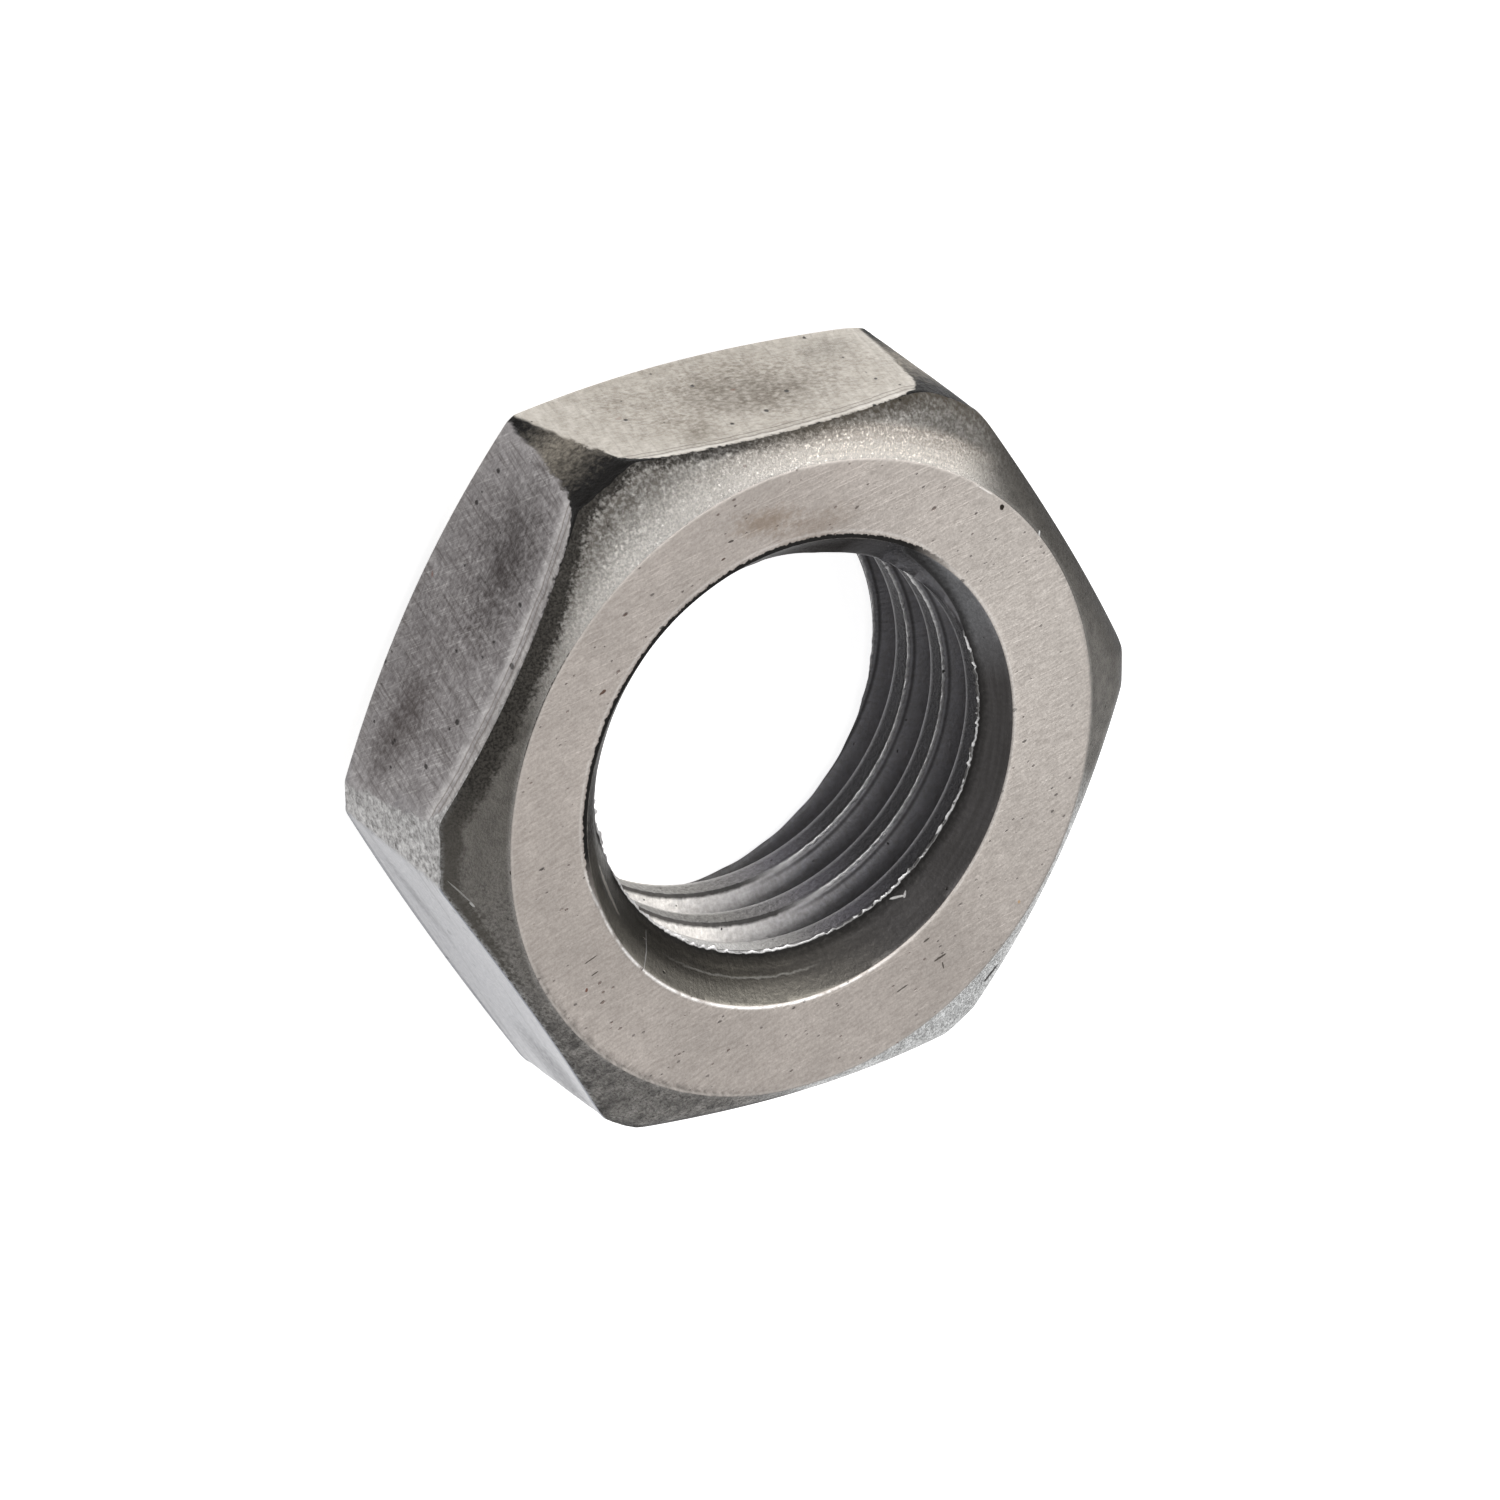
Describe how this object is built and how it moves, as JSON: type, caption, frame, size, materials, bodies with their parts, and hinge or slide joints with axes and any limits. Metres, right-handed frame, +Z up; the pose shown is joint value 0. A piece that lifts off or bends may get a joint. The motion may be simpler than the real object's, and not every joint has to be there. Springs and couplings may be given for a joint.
{
  "type": "jam nut",
  "caption": "Thin hexagonal nut in plain steel, chamfered on both faces, with a countersunk right-hand threaded bore.",
  "frame": {"origin": "centre of the lower bearing face, on the bore axis", "axes": "+Z up along the bore axis, +X through the middle of a flat, +Y through a corner"},
  "size_m": [0.0264, 0.0298, 0.009],
  "materials": {
    "steel": "plain self-colour steel, ground bearing faces, forged flats and chamfers with scale and fine scratches"
  },
  "bodies": {
    "root": {"jam_nut": "steel"}
  },
  "joints": []
}
